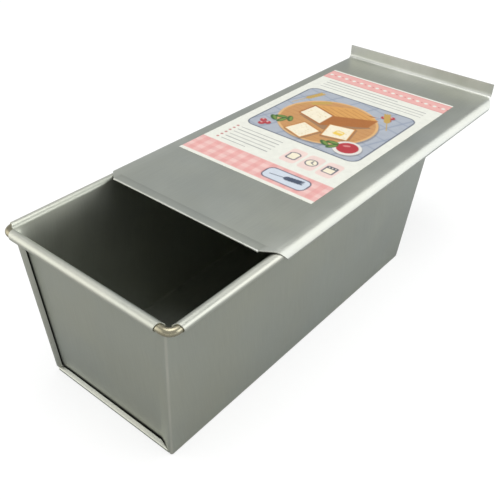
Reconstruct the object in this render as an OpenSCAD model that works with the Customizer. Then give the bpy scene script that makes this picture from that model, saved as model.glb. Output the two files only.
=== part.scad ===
// Pullman loaf pan: a folded sheet metal body with a wired rim, and a lid that slides along the rim.
// The origin is the centre of the pan's underside, +X runs along the pan towards the lid's pull lip.

/* [Rim] */
// Length over the rim bead
rim_length = 230; // [180:1:320]
// Width over the rim bead
rim_width = 112; // [90:1:160]
// Height from the underside to the top of the rim bead
pan_height = 91; // [60:1:140]
// Diameter of the wire in the rim
wire_dia = 4; // [2.5:0.1:6]
// Radius of the wire's centreline at each corner
wire_corner = 4; // [3.2:0.1:4.4]
// Space between the wire and the curl round it
wire_slack = 0.1; // [0.05:0.05:0.2]
// How far round the wire the curl runs, in degrees
curl_sweep = 315; // [280:1:330]
// How far the open side of each curl stops short of its inner end
curl_setback = 4; // [2:0.5:8]

/* [Body] */
// Thickness of the sheet that the body and the lid are made of
sheet = 0.5; // [0.3:0.05:0.8]
// Length of the foot, over the end seams
base_length = 212.6; // [160:0.2:300]
// Width of the foot, over the long walls
base_width = 86.4; // [60:0.2:140]
// Outer radius of the plain bends
bend_radius = 1.5; // [1.1:0.1:3]
// How far the walls lean out just below the rim
wall_flare = 1.8; // [0.5:0.1:3]
// Height of that outward lean
flare_height = 3; // [2:0.5:4]

/* [Seams] */
// How far the folded seams stand proud of the end panels
seam_reach = 2.8; // [2.4:0.1:4]
// Thickness of a folded seam, three layers of sheet and the space between them
seam_thickness = 2; // [1.8:0.1:2.4]
// Gap between a seam's folded edge and the end panel
seam_gap = 0.8; // [0.4:0.1:1]
// Space between the tip of a flange and the fold round it
flange_clear = 0.2; // [0.1:0.05:0.4]
// Width of the strip that brings each end panel out to its plain corner
corner_strip = 8; // [6:0.5:14]
// Rounding of the seams where two of them meet
seam_round = 3.5; // [2.5:0.5:6]

/* [Lid] */
// Length of the lid along the pan
lid_length = 235; // [180:1:330]
// How far the lid stands open from its closed place
lid_open = 65.5; // [0:0.5:150]
// Outer radius of the channels along the lid's long edges
channel_radius = 4; // [3.8:0.1:5]
// Space between the rim bead and the channels
channel_clear = 0.9; // [0.9:0.05:1.5]
// How far round the bead each channel runs, in degrees
channel_sweep = 205; // [180:5:220]
// Width of the front edge between its slanted corners
front_edge = 95; // [70:1:130]
// How far back the slanted corners run for each millimetre across
corner_slope = 0.75; // [0.4:0.05:1]
// Depth of the hem under the front edge
hem_depth = 8; // [5:0.5:12]
// Height of the pull lip above the lid
lip_height = 8.6; // [5:0.2:15]
// Width of the pull lip
lip_width = 109; // [80:1:150]
// Inside radius of the bend at the pull lip
lip_bend = 1; // [0.5:0.1:2]

/* [Label] */
// Length of the paper label
label_length = 156; // [100:1:200]
// Width of the paper label
label_width = 90; // [60:1:96]
// Thickness of the paper label
label_thickness = 0.15; // [0.1:0.05:0.3]
// Distance from the label's far edge to the pull lip
label_inset = 31; // [20:1:60]
// How far the label sits off the lid's middle line
label_shift = 2.5; // [0:0.5:5]

/* [Hidden] */
$fn = 64;
steel = [0.63, 0.64, 0.61];
bare_wire = [0.72, 0.69, 0.6];
paper = [0.95, 0.92, 0.84];
cut_margin = 20;
flare_steps = 6;
arc_steps = 6;
// Space left between neighbouring edges of the folded body
joint_clear = 0.1;
// How far an arc, in degrees, and the corner's strip run on into the flat sheet that they join
arc_lap = 2;
strip_lap = 0.5;

// Rim
bead_r = wire_dia / 2 + wire_slack + sheet;
rim_x = rim_length / 2 - bead_r;
rim_y = rim_width / 2 - bead_r;
rim_z = pan_height - bead_r;
// Where the sheet stops at the corners: short of the inner corner, under the wire and under the curls
curl_root = wall_flare + 2 * joint_clear;
notch_z = rim_z - wire_dia / 2 - 2 * wire_slack;
corner_top = rim_z - bead_r - joint_clear;

// Outer planes of the long walls and of the end seams, at the foot and at the rim's height
foot_x = base_length / 2;
foot_y = base_width / 2;
top_x = rim_x - bead_r + sheet - wall_flare + seam_reach;
top_y = rim_y - bead_r + sheet - wall_flare;
rise_x = (top_x - foot_x) / rim_z;
rise_y = (top_y - foot_y) / rim_z;
end_tilt = atan(rise_x);
side_tilt = atan(rise_y);
corner_lean = atan((top_y - foot_y) / norm([top_x - foot_x, rim_z]));

// Bottom bends of the long walls
bend_y = foot_y - bend_radius * (1 - sin(side_tilt)) / cos(side_tilt);

// Seams
fold_r = seam_thickness / 2;
flange_low = fold_r - sheet / 2;
recess = seam_reach * cos(end_tilt);
fold_top = min(corner_top, rim_z - flare_height - joint_clear);

// Lid
lid_z = pan_height + channel_clear + sheet;
lid_y = rim_y + channel_clear + bead_r + sheet - channel_radius;
channel_z = lid_z - channel_radius;
lid_back = lid_length / 2 + lid_open;
lid_front = lid_back - lid_length;
lip_r = lip_bend + sheet;
plate_end = lid_back - lip_r;

// Label
label_back = lid_back - label_inset;

// How far out the wall has leant at height z, beyond its straight plane, from 0 to 1
function ease(s) = (1 - cos(180 * max(0, min(1, s)))) / 2;
function flare(z) = wall_flare * ease((z - rim_z + flare_height) / flare_height);
function flare_z(i) = rim_z - flare_height + flare_height * i / flare_steps;

// The part of a ring between two angles, as a flat shape
module ring_part(outer, inner, from, to) {
    intersection() {
        difference() {
            circle(r = outer);
            circle(r = inner);
        }
        polygon(concat([[0, 0]], [for (i = [0:arc_steps]) let (turn = from + (to - from) * i / arc_steps)
            2 * outer * [cos(turn), sin(turn)]]));
    }
}

// A wall's sheet seen end on: straight from height low, then its lean out to the wire's height
module sheet_profile(foot, rise, low) {
    tilt = atan(rise);
    heights = concat([low], [for (i = [0:flare_steps]) flare_z(i)]);
    last = len(heights) - 1;
    polygon(concat(
        [for (i = [0:last]) [foot + heights[i] * rise + flare(heights[i]), heights[i]]],
        [for (i = [last:-1:0]) let (s = flare(heights[i]) / wall_flare)
            [foot + heights[i] * rise + flare(heights[i]) - sheet * (s + (1 - s) / cos(tilt)), heights[i]]]
    ));
}

// The curl round the wire seen end on, from its inner side over the top
module curl_profile(centre) {
    translate([centre, rim_z]) ring_part(bead_r, bead_r - sheet, 180 - curl_sweep, 180 + arc_lap);
}

// Stands its flat children up in the plane of the pan's corner line at the near, visible corner
module corner_frame() {
    translate([-foot_x, -foot_y, 0]) rotate([corner_lean, -end_tilt, 0]) children();
}

// A flat outline across the pan's corner line, run along that line between two heights
module along_corner(low, high) {
    intersection() {
        corner_frame() translate([0, 0, -cut_margin]) linear_extrude(height = pan_height + 2 * cut_margin)
            children();
        translate([-rim_length, -rim_length, low]) cube([2 * rim_length, 2 * rim_length, high - low]);
    }
}

// Keeps a wall's sheet between its two leaning ends, and clear of the wire's bends above the notches
module sheet_mask(start, end, rise, across) {
    root = across - bead_r - curl_root;
    rotate([90, 0, 0]) linear_extrude(height = 2 * rim_length, center = true) polygon([
        [start, 0],
        [end, 0],
        [end + notch_z * rise, notch_z],
        [root, notch_z],
        [root, pan_height],
        [-root, pan_height],
        [-root, notch_z],
        [start - notch_z * rise, notch_z]
    ]);
}

// Keeps the curls clear of the corners: each is cut at a slant, shortest on its open side
module curl_mask(centre, across) {
    root = across - bead_r - curl_root;
    translate([0, 0, rim_z - 2 * bead_r]) linear_extrude(height = 4 * bead_r) polygon([
        [-root, 0],
        [root, 0],
        [root, centre - bead_r],
        [root - curl_setback, centre + bead_r],
        [root - curl_setback, centre + cut_margin],
        [curl_setback - root, centre + cut_margin],
        [curl_setback - root, centre + bead_r],
        [-root, centre - bead_r]
    ]);
}

// The strip that swells out from the recessed end panel to the plain corner, as its outer line
strip_line = [for (i = [0:flare_steps]) [
    recess * ease(i / flare_steps),
    bend_radius + (corner_strip - bend_radius) * i / flare_steps
]];

module strip_outline() {
    polygon(concat(
        strip_line,
        [for (i = [flare_steps:-1:0]) strip_line[i] + [sheet, 0]]
    ));
    translate([recess + sheet / 4, corner_strip - strip_lap]) square([sheet / 2, 2 * strip_lap]);
    translate([bend_radius, bend_radius]) ring_part(bend_radius, bend_radius - sheet, 180 - arc_lap, 270);
}

// Everything inside the strip, grown by a small gap, to clear the bottom seam from it
module strip_room() {
    polygon(concat(
        [[-joint_clear, -cut_margin], [-joint_clear, bend_radius]],
        [for (p = strip_line) p - [3 * joint_clear, 0]],
        [[recess + sheet, corner_strip], [recess + cut_margin, -cut_margin]]
    ));
}

// Floor panel, with its two end edges folded up and back over the end panels' foot flanges
module floor_half() {
    difference() {
        intersection() {
            union() {
                translate([-foot_x + fold_r, -bend_y, 0]) cube([foot_x - fold_r, 2 * bend_y, sheet]);
                rotate([90, 0, 0]) linear_extrude(height = 2 * bend_y, center = true) union() {
                    translate([-foot_x + fold_r, fold_r]) ring_part(fold_r, fold_r - sheet, 90 - arc_lap, 270 + arc_lap);
                    translate([-foot_x + fold_r, seam_thickness - sheet])
                        square([seam_reach - seam_gap - fold_r, sheet]);
                }
            }
            linear_extrude(height = seam_thickness) polygon(concat(
                [[0, -bend_y], [-foot_x, -bend_y]],
                [for (i = [0:arc_steps]) let (turn = 90 * i / arc_steps)
                    [-foot_x + seam_round * (1 - cos(turn)), bend_y - seam_round * (1 - sin(turn))]],
                [[0, bend_y]]
            ));
        }
        translate([0, 0, sheet]) along_corner(0, pan_height) strip_room();
    }
}

module floor_panel() {
    color(steel) {
        floor_half();
        rotate([0, 0, 180]) floor_half();
    }
}

// A long wall on the +Y side: bottom bend, sheet, rim curl, and the fold of the upright seam at its -X end
module long_wall() {
    color(steel) intersection() {
        union() {
            intersection() {
                rotate([90, 0, 90]) linear_extrude(height = rim_length, center = true) union() {
                    sheet_profile(foot_y, rise_y, bend_radius * (1 - sin(side_tilt)));
                    translate([bend_y, bend_radius])
                        ring_part(bend_radius, bend_radius - sheet, -90, arc_lap - side_tilt);
                }
                sheet_mask(fold_r / cos(end_tilt) - foot_x, foot_x - bend_radius / cos(end_tilt), rise_x, rim_x);
            }
            intersection() {
                rotate([90, 0, 90]) linear_extrude(height = rim_length, center = true) curl_profile(rim_y);
                curl_mask(rim_y, rim_x);
            }
            upright_fold();
        }
        seam_mask();
    }
}

// The edge of a long wall, folded back over the end panel's side flange
module upright_fold() {
    mirror([0, 1, 0]) along_corner(0, fold_top) {
        translate([fold_r, fold_r]) ring_part(fold_r, fold_r - sheet, 90 - arc_lap, 270 + arc_lap);
        translate([fold_r, seam_thickness - sheet]) square([recess - seam_gap - fold_r, sheet]);
    }
}

// Cuts the upright seam off above the bottom seam, with a rounded foot
module seam_mask() {
    low = seam_thickness + joint_clear;
    rotate([90, 0, 0]) linear_extrude(height = 2 * rim_width, center = true) polygon(concat(
        [[rim_length, -cut_margin], [rim_length, 2 * pan_height], [-rim_length, 2 * pan_height]],
        [[-rim_length, low + seam_round], [-foot_x, low + seam_round]],
        [for (i = [1:arc_steps]) let (turn = 90 * i / arc_steps)
            [-foot_x + seam_round * (1 - cos(turn)), low + seam_round * (1 - sin(turn))]],
        [[-foot_x + seam_reach + seam_round, low], [-foot_x + seam_reach + seam_round, -cut_margin]]
    ));
}

// The end panel on the -X side: recessed sheet, rim curl, foot and side flanges, and the plain corner
module end_panel() {
    panel_x = foot_x - seam_reach;
    strip_y = corner_strip / cos(corner_lean);
    flange_y = flange_low / cos(corner_lean);
    color(steel) {
        intersection() {
            rotate([90, 0, 0]) linear_extrude(height = rim_width, center = true) mirror([1, 0]) union() {
                sheet_profile(panel_x, rise_x, flange_low);
                translate([panel_x - sheet, flange_low]) square([seam_reach - flange_clear, sheet]);
            }
            rotate([0, 0, 90]) sheet_mask(strip_y - foot_y, foot_y - flange_y, rise_y, rim_y);
        }
        intersection() {
            rotate([90, 0, 0]) linear_extrude(height = rim_width, center = true) mirror([1, 0])
                curl_profile(rim_x);
            rotate([0, 0, 90]) curl_mask(rim_x, rim_y);
        }
        along_corner(sheet, corner_top) strip_outline();
        mirror([0, 1, 0]) along_corner(seam_thickness, fold_top) translate([sheet + flange_clear, flange_low])
            square([recess - flange_clear, sheet]);
    }
}

module front_wall() {
    rotate([0, 0, 180]) long_wall();
}

module back_wall() {
    long_wall();
}

module left_end() {
    end_panel();
}

module right_end() {
    rotate([0, 0, 180]) end_panel();
}

// The wire in the rim: four straight runs joined by quarter turns
module rim_wire() {
    run_x = rim_x - wire_corner;
    run_y = rim_y - wire_corner;
    color(bare_wire) translate([0, 0, rim_z]) {
        for (side = [-1, 1]) {
            translate([-run_x, side * rim_y, 0]) rotate([0, 90, 0]) cylinder(d = wire_dia, h = 2 * run_x);
            translate([side * rim_x, run_y, 0]) rotate([90, 0, 0]) cylinder(d = wire_dia, h = 2 * run_y);
        }
        for (turn = [[1, 1, 0], [-1, 1, 90], [-1, -1, 180], [1, -1, 270]])
            translate([turn[0] * run_x, turn[1] * run_y, 0]) rotate([0, 0, turn[2]])
                rotate_extrude(angle = 90) translate([wire_corner, 0]) circle(d = wire_dia);
    }
}

// Half of the lid seen end on: flat plate and the channel that grips the rim bead
module lid_profile() {
    translate([0, lid_z - sheet]) square([lid_y, sheet]);
    translate([lid_y, channel_z])
        ring_part(channel_radius, channel_radius - sheet, 90 - channel_sweep, 90 + arc_lap);
}

// One slanted corner of the flat blank, as the channel shows it from above: starts at [0, half]
function slant(half) = [
    [-cut_margin, half],
    [0, half],
    [(lid_y - half) * corner_slope, lid_y],
    [(lid_y - half + channel_radius * PI / 2) * corner_slope, lid_y + channel_radius],
    [(lid_y - half + channel_radius * PI / 2) * corner_slope, lid_y + cut_margin],
    [-cut_margin, lid_y + cut_margin]
];

// What the slanted corner takes from the channel's underside
module channel_trim(half) {
    depth = (lid_y - half + channel_radius * PI * 3 / 4) * corner_slope;
    translate([-cut_margin, lid_y - cut_margin, channel_z - cut_margin])
        cube([cut_margin + depth, 2 * cut_margin, cut_margin]);
}

module lid_half() {
    difference() {
        translate([lid_front + sheet, 0, 0]) rotate([90, 0, 90])
            linear_extrude(height = plate_end - lid_front - sheet) lid_profile();
        translate([lid_front, 0, 0]) {
            linear_extrude(height = 2 * pan_height) polygon(slant(front_edge / 2));
            channel_trim(front_edge / 2);
        }
        translate([plate_end, 0, 0]) mirror([1, 0, 0]) {
            linear_extrude(height = 2 * pan_height) polygon(slant(lip_width / 2));
            channel_trim(lip_width / 2);
        }
    }
}

// One formed sheet: plate, two channels, hemmed front edge and upturned pull lip
module lid() {
    color(steel) {
        lid_half();
        mirror([0, 1, 0]) lid_half();
        translate([lid_front + sheet, 0, lid_z - sheet]) rotate([90, 0, 0])
            cylinder(r = sheet, h = front_edge, center = true);
        translate([lid_front + sheet, -front_edge / 2, lid_z - 2 * sheet]) cube([hem_depth, front_edge, sheet]);
        rotate([90, 0, 0]) linear_extrude(height = lip_width, center = true) {
            translate([plate_end, lid_z + lip_bend]) ring_part(lip_r, lip_bend, -90 - arc_lap, arc_lap);
            translate([lid_back - sheet, lid_z + lip_bend]) square([sheet, lip_height - lip_bend]);
        }
    }
}

module label() {
    color(paper) translate([label_back - label_length, label_shift - label_width / 2, lid_z])
        cube([label_length, label_width, label_thickness]);
}

floor_panel();  // floor
front_wall();
back_wall();
left_end();
right_end();
rim_wire();
lid();
label();
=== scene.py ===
import math
import random

import bmesh
import bpy
import numpy as np
from mathutils import Matrix, Vector


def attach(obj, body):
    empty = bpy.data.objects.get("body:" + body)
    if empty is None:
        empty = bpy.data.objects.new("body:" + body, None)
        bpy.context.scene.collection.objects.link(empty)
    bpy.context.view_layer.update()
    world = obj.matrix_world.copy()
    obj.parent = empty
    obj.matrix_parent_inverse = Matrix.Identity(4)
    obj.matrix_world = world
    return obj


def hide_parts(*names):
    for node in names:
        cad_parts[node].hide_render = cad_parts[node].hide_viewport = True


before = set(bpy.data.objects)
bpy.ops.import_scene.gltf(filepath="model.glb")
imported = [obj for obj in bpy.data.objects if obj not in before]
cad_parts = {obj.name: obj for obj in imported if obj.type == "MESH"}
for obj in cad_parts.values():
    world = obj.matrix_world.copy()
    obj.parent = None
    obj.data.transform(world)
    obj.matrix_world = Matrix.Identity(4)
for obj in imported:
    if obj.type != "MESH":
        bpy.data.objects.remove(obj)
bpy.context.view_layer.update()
scene = bpy.context.scene
millimetre = 0.001                            # points are worked out in millimetres, and meshes are in metres

# Sizes in millimetres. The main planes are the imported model's.
panSizes = {
    "footX": 106.3, "footY": 43.2,        # outer planes of the seams and of the long walls, at the foot
    "riseX": 5.0 / 88.4, "riseY": 6.3 / 88.4,
    "rimX": 112.4, "rimY": 53.4, "rimZ": 88.4,
    "sheet": 0.5,
    "curlR": 2.1,                         # the curl's inner side, which faces the wire
    "curlStart": 166.0, "curlEnd": -135.0,   # degrees round the wire, from the outward side
    "curlBack": 2.6, "curlTopShare": 0.62,   # how far the curls' ends slant back, and their top's share of it
    "neckEase": 0.065,                    # the wall meets the curl with a slope this much less than the curl's
    "rootX": 109.4, "rootY": 48.8,        # where the rim's necks end,
    "rootMore": 1.3,                      # and how much further next to a seam
    "neckClear": 3.3,                     # columns of a long wall this near to a corner have no neck
    "recess": 2.8, "swell": 9.5,          # end panel behind the seams, and the strip out to the plain corner
    "flangeIn": 1.25, "flangeRound": 0.35,   # end panel's side flange, inside the seam
    "bend": 1.15, "foldR": 1.0, "foldTurn": 155.0, "legReach": 2.1,
    "flare": 1.83, "flareHeight": 18.0, "flareAtEnds": 3.4, "flareBlend": 9.0,
    "foldTop": 85.3, "cornerTop": 85.7, "neckZ": 86.2,
    "seamLow": 2.05, "seamRound": 1.0, "seamGap": 0.8,
    "edgeBevel": 0.07,
    "floorRing": (0.994, 0.985),          # the inner floor's outline as a share of the whole floor's
}
s = panSizes


def ease(k):
    return (1 - math.cos(math.pi * max(0.0, min(1.0, k)))) / 2


def mix(a, b, t):
    return a + (b - a) * t


def spread(a, b, count):
    return [mix(a, b, i / count) for i in range(count + 1)]


# Turning lists of points into sheet metal

class SheetPatches:
    def __init__(self):
        self.points, self.faces, self.flat, self.wearSheenShade = [], [], [], []

    # A grid of points, with None where the sheet doesn't reach. Faces point along the cross product of a row's
    # direction and the step to the next row.
    def grid(self, rows, flat, wearSheenShade=None):
        index = {}
        for i, row in enumerate(rows):
            for j, p in enumerate(row):
                if p is not None:
                    index[i, j] = len(self.points)
                    self.points.append(Vector(p))
                    self.flat.append(flat[i][j])
                    self.wearSheenShade.append(wearSheenShade[i][j] if wearSheenShade else 0.0)
        for i in range(len(rows) - 1):
            for j in range(len(rows[i]) - 1):
                corners = [(i, j), (i, j + 1), (i + 1, j + 1), (i + 1, j)]
                if all(c in index for c in corners):
                    self.faces.append([index[c] for c in corners])

    def polygon(self, outline, flat):
        start = len(self.points)
        self.points += [Vector(p) for p in outline]
        self.flat += flat
        self.wearSheenShade += [0.0] * len(outline)
        self.faces.append(list(range(start, start + len(outline))))

    def turnedHalfRound(self):
        other = SheetPatches()
        other.points = [Vector((-p.x, -p.y, p.z)) for p in self.points]
        other.faces = [list(f) for f in self.faces]
        other.flat = [(u + 0.31, v + 0.17) for u, v in self.flat]
        other.wearSheenShade = list(self.wearSheenShade)
        return other

    def add(self, other):
        shift = len(self.points)
        self.points += other.points
        self.flat += other.flat
        self.wearSheenShade += other.wearSheenShade
        self.faces += [[i + shift for i in f] for f in other.faces]

    def toMesh(self, name):
        mesh = bpy.data.meshes.new(name)
        bm = bmesh.new()
        # Each point's mask: above 0 is wear with painted highlight, below 0 is painted shade
        wearSheenShadeLayer = bm.verts.layers.float.new("wearSheenShade")
        flatLayer = bm.loops.layers.uv.new("flat")
        verts = []
        for p, w in zip(self.points, self.wearSheenShade):
            v = bm.verts.new(p * millimetre)
            v[wearSheenShadeLayer] = w
            verts.append(v)
        for f in self.faces:
            corners = [i for k, i in enumerate(f) if (self.points[i] - self.points[f[k - 1]]).length > 1e-5]
            if len(corners) < 3:
                continue
            face = bm.faces.new([verts[i] for i in corners])
            face.smooth = True
            for loop, i in zip(face.loops, corners):
                loop[flatLayer].uv = (self.flat[i][0] * millimetre, self.flat[i][1] * millimetre)
        bmesh.ops.remove_doubles(bm, verts=bm.verts, dist=2e-7)
        loose = [v for v in bm.verts if not v.link_faces]
        bmesh.ops.delete(bm, geom=loose, context="VERTS")
        bm.to_mesh(mesh)
        bm.free()
        return mesh


def addObject(name, mesh, material):
    piece = bpy.data.objects.new(name, mesh)
    scene.collection.objects.link(piece)
    if material:
        mesh.materials.clear()
        mesh.materials.append(material)
    return piece


def bakeModifiers(piece, sharpAngle):
    graph = bpy.context.evaluated_depsgraph_get()
    mesh = bpy.data.meshes.new_from_object(piece.evaluated_get(graph), depsgraph=graph)
    piece.modifiers.clear()
    piece.data = mesh
    mesh.polygons.foreach_set("use_smooth", [True] * len(mesh.polygons))
    mesh.set_sharp_from_angle(angle=math.radians(sharpAngle))


# Gives an open sheet its thickness behind its outer face, and takes the sharpness off its cut edges
def thicken(piece, thickness, bevel, sharpAngle=38):
    wall = piece.modifiers.new("thickness", "SOLIDIFY")
    wall.thickness = thickness * millimetre
    wall.offset = -1
    wall.use_even_offset = True
    edge = piece.modifiers.new("edges", "BEVEL")
    edge.width = bevel * millimetre
    edge.segments = 1
    edge.limit_method = "ANGLE"
    edge.angle_limit = math.radians(60)
    bakeModifiers(piece, sharpAngle)


# Materials

def newMaterial(name):
    material = bpy.data.materials.new(name)
    material.use_nodes = True
    tree = material.node_tree
    tree.nodes.clear()
    shader = tree.nodes.new("ShaderNodeBsdfPrincipled")
    out = tree.nodes.new("ShaderNodeOutputMaterial")
    tree.links.new(shader.outputs["BSDF"], out.inputs["Surface"])
    return material, tree, shader


def addNode(tree, kind, inputs=(), **settings):
    node = tree.nodes.new(kind)
    for key, value in settings.items():
        setattr(node, key, value)
    for key, value in dict(inputs).items():
        if isinstance(value, bpy.types.NodeSocket):
            tree.links.new(value, node.inputs[key])
        else:
            node.inputs[key].default_value = value
    return node


def grainNoise(tree, coords, scale, stretch, detail=3.0, rough=0.55):
    turned = addNode(tree, "ShaderNodeMapping", {"Vector": coords, "Scale": stretch})
    return addNode(tree, "ShaderNodeTexNoise", {
        "Vector": turned.outputs["Vector"], "Scale": scale, "Detail": detail, "Roughness": rough,
    }).outputs["Fac"]


def rangeOf(tree, value, low, high, toLow, toHigh):
    return addNode(tree, "ShaderNodeMapRange", {
        "Value": value, "From Min": low, "From Max": high, "To Min": toLow, "To Max": toHigh,
    }).outputs["Result"]


def combine(tree, operation, *values):
    return addNode(tree, "ShaderNodeMath", enumerate(values), operation=operation).outputs["Value"]


def mixColours(tree, factor, first, second, blend="MIX"):
    sides = {"Factor": factor, "A": first, "B": second}
    return addNode(tree, "ShaderNodeMix", sides, data_type="RGBA", blend_type=blend).outputs["Result"]


def opaque(colour):
    return (*colour, 1)


def addBump(tree, shader, height, strength, distance):
    bump = addNode(tree, "ShaderNodeBump", {"Height": height, "Strength": strength, "Distance": distance})
    tree.links.new(bump.outputs["Normal"], shader.inputs["Normal"])


noiseLow, noiseHigh = 0.3, 0.7                # where most of a noise texture's values lie


steelLook = {
    "colour": (0.520, 0.544, 0.475), "warm": (0.535, 0.540, 0.445), "cool": (0.495, 0.530, 0.505),
    "tint": 0.45,                             # how much of the warm and cool clouds shows
    # The worn colour is also a painted highlight, and the near-black colour is painted shade for crevices
    "wearAndSheen": (0.66, 0.655, 0.58), "creviceShade": (0.035, 0.035, 0.035), "metal": 0.89,
    "roughness": 0.38, "roughnessSpread": 0.06, "wornRoughness": 0.45,
    "streakScale": 1500.0, "fineStreaks": 3.1, "streakStretch": (1.0, 0.03, 1.0),
    "streakBump": 0.008, "streakShade": 0.035,
    "mottleScale": 28.0, "cloudScale": 9.0, "cloudSpan": (0.35, 0.66),
    "patchSpan": (0.3, 0.62), "leastPatch": 0.35,    # wear and painted highlight come and go in patches
}


def makeSteel(name, look):
    material, tree, shader = newMaterial(name)
    flat = addNode(tree, "ShaderNodeUVMap", uv_map="flat").outputs["UV"]
    solid = addNode(tree, "ShaderNodeTexCoord").outputs["Object"]
    wearAndSheen = addNode(tree, "ShaderNodeAttribute", attribute_name="wearSheenShade").outputs["Fac"]
    streak = grainNoise(tree, flat, look["streakScale"], look["streakStretch"], 4.0, 0.6)
    fineScale = look["streakScale"] * look["fineStreaks"]
    fineStreak = grainNoise(tree, flat, fineScale, look["streakStretch"], 2.0, 0.5)
    cloud = grainNoise(tree, solid, look["cloudScale"], (1, 1, 1), 4.0, 0.6)
    mottle = grainNoise(tree, solid, look["mottleScale"], (1, 1, 1), 3.0, 0.6)

    patches = rangeOf(tree, mottle, *look["patchSpan"], look["leastPatch"], 1.0)
    patchy = combine(tree, "MULTIPLY", wearAndSheen, patches)
    coolness = rangeOf(tree, cloud, *look["cloudSpan"], 0.0, 1.0)
    clouds = mixColours(tree, coolness, opaque(look["warm"]), opaque(look["cool"]))
    plain = mixColours(tree, look["tint"], opaque(look["colour"]), clouds)
    shade = rangeOf(tree, streak, noiseLow, noiseHigh, 1 - look["streakShade"], 1 + look["streakShade"])
    streaky = mixColours(tree, 1.0, plain, shade, "MULTIPLY")
    # Below 0 the mask blends in the painted crevice shade, and above 0 the worn colour with its painted
    # highlight
    creviceShaded = mixColours(tree, rangeOf(tree, wearAndSheen, 0.0, -1.0, 0.0, 1.0), streaky, opaque(look["creviceShade"]))
    colour = mixColours(tree, patchy, creviceShaded, opaque(look["wearAndSheen"]))
    tree.links.new(colour, shader.inputs["Base Color"])

    shader.inputs["Metallic"].default_value = look["metal"]
    base = rangeOf(tree, mottle, noiseLow, noiseHigh, look["roughness"] - look["roughnessSpread"],
                   look["roughness"] + look["roughnessSpread"])
    rough = addNode(tree, "ShaderNodeMix", {"Factor": patchy, "A": base, "B": look["wornRoughness"]})
    tree.links.new(rough.outputs["Result"], shader.inputs["Roughness"])
    addBump(tree, shader, combine(tree, "ADD", streak, fineStreak), 1.0, look["streakBump"] * millimetre)
    return material


wireLook = {
    "colour": (0.455, 0.425, 0.31), "dark": (0.20, 0.17, 0.105), "stainScale": 160.0,
    "roughness": (0.22, 0.38), "drawScale": 2200.0, "drawBump": 0.03,
}


def makeWireMetal(look):
    material, tree, shader = newMaterial("drawnWire")
    flat = addNode(tree, "ShaderNodeUVMap", uv_map="flat").outputs["UV"]
    solid = addNode(tree, "ShaderNodeTexCoord").outputs["Object"]
    draw = grainNoise(tree, flat, look["drawScale"], (0.02, 1.0, 1.0), 3.0, 0.6)
    stain = grainNoise(tree, solid, look["stainScale"], (1, 1, 1), 4.0, 0.65)
    stained = rangeOf(tree, stain, 0.36, 0.7, 0.0, 0.8)
    colour = mixColours(tree, stained, opaque(look["colour"]), opaque(look["dark"]))
    tree.links.new(colour, shader.inputs["Base Color"])
    shader.inputs["Metallic"].default_value = 1.0
    rough = rangeOf(tree, stain, noiseLow, noiseHigh, *look["roughness"])
    tree.links.new(rough, shader.inputs["Roughness"])
    addBump(tree, shader, draw, 1.0, look["drawBump"] * millimetre)
    return material


paperLook = {
    "fibreScale": 1500.0, "blotchScale": 240.0, "whiteness": (0.86, 0.93), "roughness": (0.42, 0.58),
    "gloss": 0.4, "fibreBump": 0.02,
}


def makePaper(look):
    material, tree, shader = newMaterial("printedPaper")
    solid = addNode(tree, "ShaderNodeTexCoord").outputs["Object"]
    ink = addNode(tree, "ShaderNodeAttribute", attribute_name="ink").outputs["Color"]
    fibre = grainNoise(tree, solid, look["fibreScale"], (1, 1, 1), 4.0, 0.7)
    blotch = grainNoise(tree, solid, look["blotchScale"], (1, 1, 1), 3.0, 0.6)
    white = rangeOf(tree, blotch, noiseLow, noiseHigh, *look["whiteness"])
    tree.links.new(mixColours(tree, 1.0, ink, white, "MULTIPLY"), shader.inputs["Base Color"])
    rough = rangeOf(tree, fibre, noiseLow, noiseHigh, *look["roughness"])
    tree.links.new(rough, shader.inputs["Roughness"])
    shader.inputs["Specular IOR Level"].default_value = look["gloss"]
    addBump(tree, shader, fibre, 0.4, look["fibreBump"] * millimetre)
    return material


panSteel = makeSteel("aluminisedPanSheet", steelLook)
lidSteel = makeSteel("aluminisedLidSheet", {
    **steelLook, "colour": (0.488, 0.503, 0.444), "warm": (0.505, 0.508, 0.42), "cool": (0.46, 0.488, 0.472),
    "wearAndSheen": (0.695, 0.70, 0.655), "wornRoughness": 0.5, "streakStretch": (0.03, 1.0, 1.0),
})
wireMetal = makeWireMetal(wireLook)
paperPrint = makePaper(paperLook)
print("materials made")


# Pan body: two L-shaped sheets, each an end panel and a long wall round a plain corner, and the floor

def planeX(z):
    return s["footX"] + s["riseX"] * z


def planeY(z):
    return s["footY"] + s["riseY"] * z


# where a wall runs into its curl, and how steeply it leans there
curlFoot = s["rimZ"] + s["curlR"] * math.sin(math.radians(s["curlStart"]))
curlSlope = math.tan(math.radians(180 - s["curlStart"])) - s["neckEase"]


# How far a wall has leant out towards its curl, from 0 to 1: soft in the middle of a side, short at its ends
def lean(z, fromEnd):
    height = mix(s["flareAtEnds"], s["flareHeight"], ease(fromEnd / s["flareBlend"]))
    k = max(0.0, min(1.0, (z - curlFoot + height) / height))
    m = curlSlope * height / s["flare"]
    return (3 - m) * k ** 2 + (m - 2) * k ** 3


def swellAt(t):
    return mix(t, ease(t), 0.35)


# Distance from the plain corner's plane at which the strip is still a given depth behind the seams' plane
def swellDistance(depth):
    low, high = 0.0, 1.0
    for _ in range(30):
        t = (low + high) / 2
        if s["recess"] * (1 - swellAt(t)) > depth:
            low = t
        else:
            high = t
    return mix(s["swell"], s["bend"], (low + high) / 2)


# A folded seam in section: depth behind its outer plane, and how far it has come round from the sheet's face
def foldPoint(turn):
    a = math.radians(turn)
    return s["foldR"] * (1 - math.sin(a)), s["foldR"] * (1 - math.cos(a))


def legPoint(k):
    depth, rise = foldPoint(s["foldTurn"])
    reach = (s["legReach"] - depth) * k
    return depth + reach, rise + reach * math.tan(math.radians(180 - s["foldTurn"]))


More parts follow.
